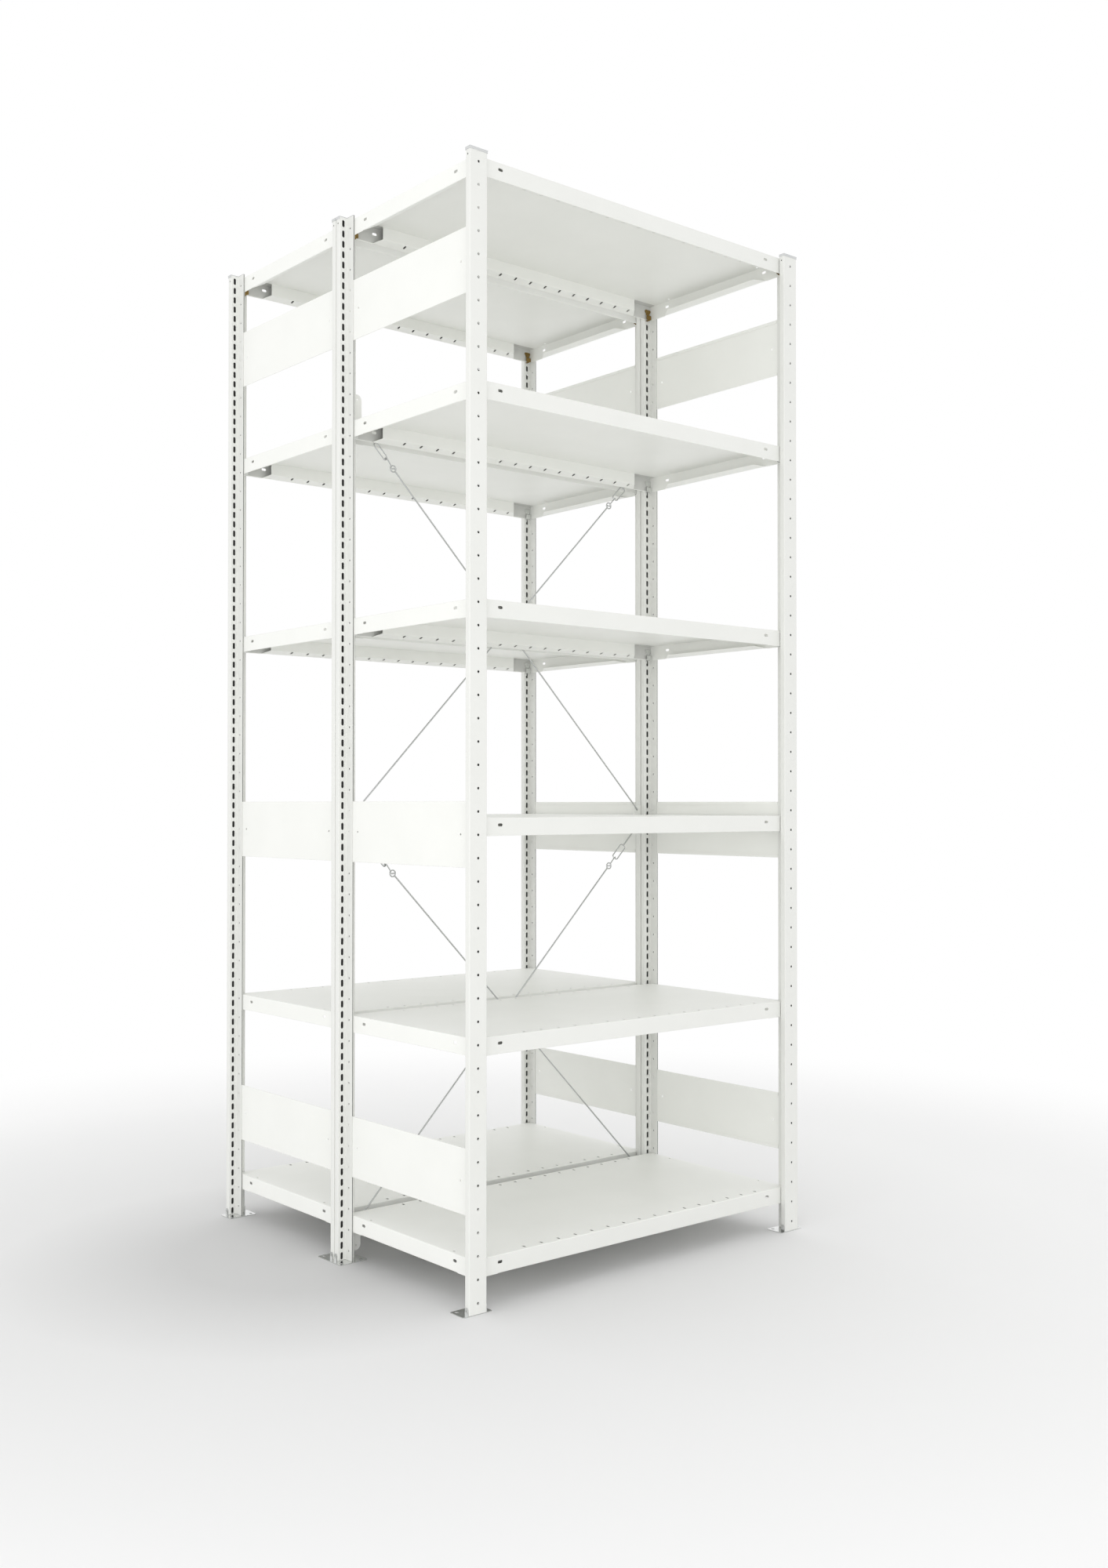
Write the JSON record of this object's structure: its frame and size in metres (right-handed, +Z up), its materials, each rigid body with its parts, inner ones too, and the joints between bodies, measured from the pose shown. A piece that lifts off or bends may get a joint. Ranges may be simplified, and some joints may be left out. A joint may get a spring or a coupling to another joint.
{
  "type": "double-sided shelving unit",
  "caption": "Free-standing double-sided shelving unit: racks back to back, with perforated T-posts, lipped sheet-metal shelves on clips, side panels and crossed tie rods",
  "frame": {"origin": "on the floor, at the centre of the unit's footprint", "axes": "+Z up; +X along the shelves; +Y from the front rack through the back rack"},
  "size_m": [1.0832, 1.0772, 2.5041],
  "materials": {
    "powder_coat": "smooth satin powder coat in a warm off-white, finely orange-peeled",
    "zinc": "bright zinc plating, nearly mirror-smooth on the foot plates",
    "cap_plastic": "fine-grained light grey moulded plastic"
  },
  "bodies": {
    "frame": {"front_outer_post_left": "powder_coat", "front_outer_post_right": "powder_coat", "front_inner_post_left": "powder_coat", "front_inner_post_right": "powder_coat", "back_outer_post_left": "powder_coat", "back_outer_post_right": "powder_coat", "back_inner_post_left": "powder_coat", "back_inner_post_right": "powder_coat", "front_outer_cap_left": "cap_plastic", "front_outer_cap_right": "cap_plastic", "front_inner_cap_left": "cap_plastic", "front_inner_cap_right": "cap_plastic", "back_outer_cap_left": "cap_plastic", "back_outer_cap_right": "cap_plastic", "back_inner_cap_left": "cap_plastic", "back_inner_cap_right": "cap_plastic", "front_low_side_panel_left": "powder_coat", "front_low_side_panel_right": "powder_coat", "front_middle_side_panel_left": "powder_coat", "front_middle_side_panel_right": "powder_coat", "front_top_side_panel_left": "powder_coat", "front_top_side_panel_right": "powder_coat", "back_low_side_panel_left": "powder_coat", "back_low_side_panel_right": "powder_coat", "back_middle_side_panel_left": "powder_coat", "back_middle_side_panel_right": "powder_coat", "back_top_side_panel_left": "powder_coat", "back_top_side_panel_right": "powder_coat", "front_foot_plate_left": "zinc", "front_foot_plate_right": "zinc", "middle_foot_plate_left": "zinc", "middle_foot_plate_right": "zinc", "back_foot_plate_left": "zinc", "back_foot_plate_right": "zinc", "low_brace_bracket_left": "powder_coat", "low_brace_bracket_right": "powder_coat", "middle_brace_bracket_left": "powder_coat", "middle_brace_bracket_right": "powder_coat", "top_brace_bracket_left": "powder_coat", "top_brace_bracket_right": "powder_coat", "lower_brace_rod_left": "zinc", "lower_brace_link_left": "zinc", "lower_brace_rod_right": "zinc", "lower_brace_link_right": "zinc", "upper_brace_rod_left": "zinc", "upper_brace_link_left": "zinc", "upper_brace_rod_right": "zinc", "upper_brace_link_right": "zinc"},
    "front_shelf_1": {"front_shelf_1": "powder_coat"},
    "front_shelf_2": {"front_shelf_2": "powder_coat"},
    "front_shelf_3": {"front_shelf_3": "powder_coat"},
    "front_shelf_4": {"front_shelf_4": "powder_coat"},
    "front_shelf_5": {"front_shelf_5": "powder_coat"},
    "front_shelf_6": {"front_shelf_6": "powder_coat"},
    "back_shelf_1": {"back_shelf_1": "powder_coat"},
    "back_shelf_2": {"back_shelf_2": "powder_coat"},
    "back_shelf_3": {"back_shelf_3": "powder_coat"},
    "back_shelf_4": {"back_shelf_4": "powder_coat"},
    "back_shelf_5": {"back_shelf_5": "powder_coat"},
    "back_shelf_6": {"back_shelf_6": "powder_coat"}
  },
  "joints": [
    {"name": "front_shelf_1_lift", "type": "slide", "parent": "frame", "child": "front_shelf_1", "axis": [0, 0, 1], "range_m": [0, 0.025]},
    {"name": "front_shelf_2_lift", "type": "slide", "parent": "frame", "child": "front_shelf_2", "axis": [0, 0, 1], "range_m": [0, 0.025]},
    {"name": "front_shelf_3_lift", "type": "slide", "parent": "frame", "child": "front_shelf_3", "axis": [0, 0, 1], "range_m": [0, 0.025]},
    {"name": "front_shelf_4_lift", "type": "slide", "parent": "frame", "child": "front_shelf_4", "axis": [0, 0, 1], "range_m": [0, 0.025]},
    {"name": "front_shelf_5_lift", "type": "slide", "parent": "frame", "child": "front_shelf_5", "axis": [0, 0, 1], "range_m": [0, 0.025]},
    {"name": "front_shelf_6_lift", "type": "slide", "parent": "frame", "child": "front_shelf_6", "axis": [0, 0, 1], "range_m": [0, 0.025]},
    {"name": "back_shelf_1_lift", "type": "slide", "parent": "frame", "child": "back_shelf_1", "axis": [0, 0, 1], "range_m": [0, 0.025]},
    {"name": "back_shelf_2_lift", "type": "slide", "parent": "frame", "child": "back_shelf_2", "axis": [0, 0, 1], "range_m": [0, 0.025]},
    {"name": "back_shelf_3_lift", "type": "slide", "parent": "frame", "child": "back_shelf_3", "axis": [0, 0, 1], "range_m": [0, 0.025]},
    {"name": "back_shelf_4_lift", "type": "slide", "parent": "frame", "child": "back_shelf_4", "axis": [0, 0, 1], "range_m": [0, 0.025]},
    {"name": "back_shelf_5_lift", "type": "slide", "parent": "frame", "child": "back_shelf_5", "axis": [0, 0, 1], "range_m": [0, 0.025]},
    {"name": "back_shelf_6_lift", "type": "slide", "parent": "frame", "child": "back_shelf_6", "axis": [0, 0, 1], "range_m": [0, 0.025]}
  ]
}
